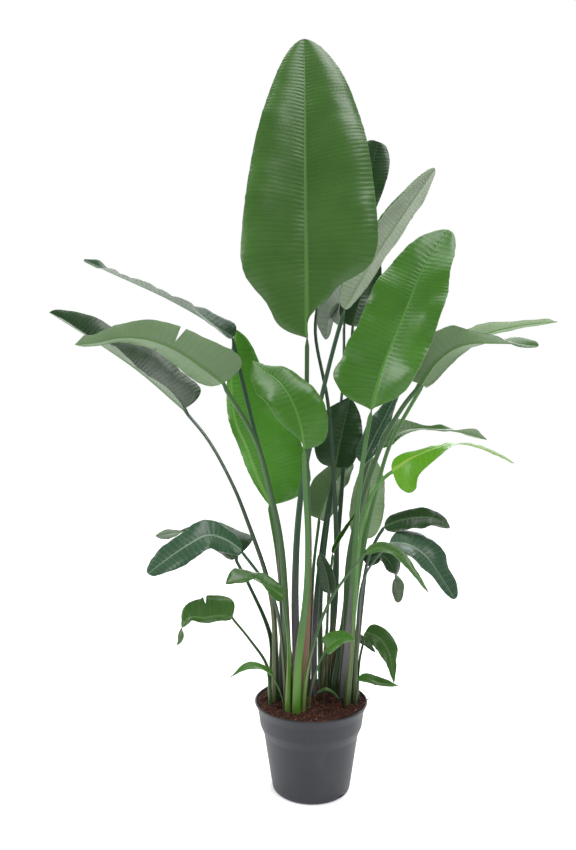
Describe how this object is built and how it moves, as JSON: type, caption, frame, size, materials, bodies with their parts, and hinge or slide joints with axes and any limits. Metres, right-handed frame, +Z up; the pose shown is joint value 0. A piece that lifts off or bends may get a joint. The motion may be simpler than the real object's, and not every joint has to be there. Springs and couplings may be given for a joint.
{
  "type": "potted bird of paradise",
  "caption": "Tall bird of paradise house plant with broad paddle leaves on long channelled stalks, standing in a plain plastic nursery pot.",
  "frame": {"origin": "centre of the pot's flat bottom face", "axes": "+Z up through the plant, -Y towards the front that the picture shows, +X to the right seen from the front"},
  "size_m": [1.3409, 0.5453, 1.7931],
  "materials": {
    "pot_plastic": "satin",
    "growing_mix": "matte",
    "twig_wood": "matte",
    "leaf_mid": "satin",
    "leaf_bright": "satin",
    "leaf_lime": "satin",
    "leaf_dark": "satin",
    "leaf_bluish": "satin"
  },
  "bodies": {
    "root": {"pot": "pot_plastic", "growing_mix": "growing_mix", "twig": "twig_wood", "leaf_top": "leaf_mid", "leaf_top_behind": "leaf_dark", "leaf_long_upright": "leaf_mid", "leaf_dark_back": "leaf_dark", "leaf_pale_back": "leaf_bluish", "leaf_right_bright": "leaf_bright", "leaf_right_front": "leaf_mid", "leaf_right_far": "leaf_bright", "leaf_right_thin": "leaf_dark", "leaf_lime": "leaf_lime", "leaf_right_dark": "leaf_dark", "leaf_glossy_droop": "leaf_bluish", "leaf_edge_droop": "leaf_mid", "leaf_right_hanging": "leaf_dark", "leaf_low_right": "leaf_mid", "leaf_low_tiny": "leaf_dark", "leaf_rim_right": "leaf_mid", "leaf_on_mix": "leaf_mid", "leaf_centre_small": "leaf_mid", "leaf_centre_dark": "leaf_dark", "leaf_left_tiny": "leaf_mid", "leaf_left_low": "leaf_mid", "leaf_left_front": "leaf_bright", "leaf_left_glossy": "leaf_dark", "leaf_left_behind": "leaf_dark", "leaf_upper_left_thin": "leaf_bluish", "leaf_left_torn": "leaf_mid", "leaf_far_left": "leaf_dark", "leaf_left_upright": "leaf_bright", "leaf_front_bright": "leaf_bright", "leaf_shaded": "leaf_dark", "leaf_narrow_grey": "leaf_bluish", "leaf_olive_back": "leaf_mid", "leaf_pale_right": "leaf_bright", "young_rolled_leaf": "leaf_bright"}
  },
  "joints": []
}
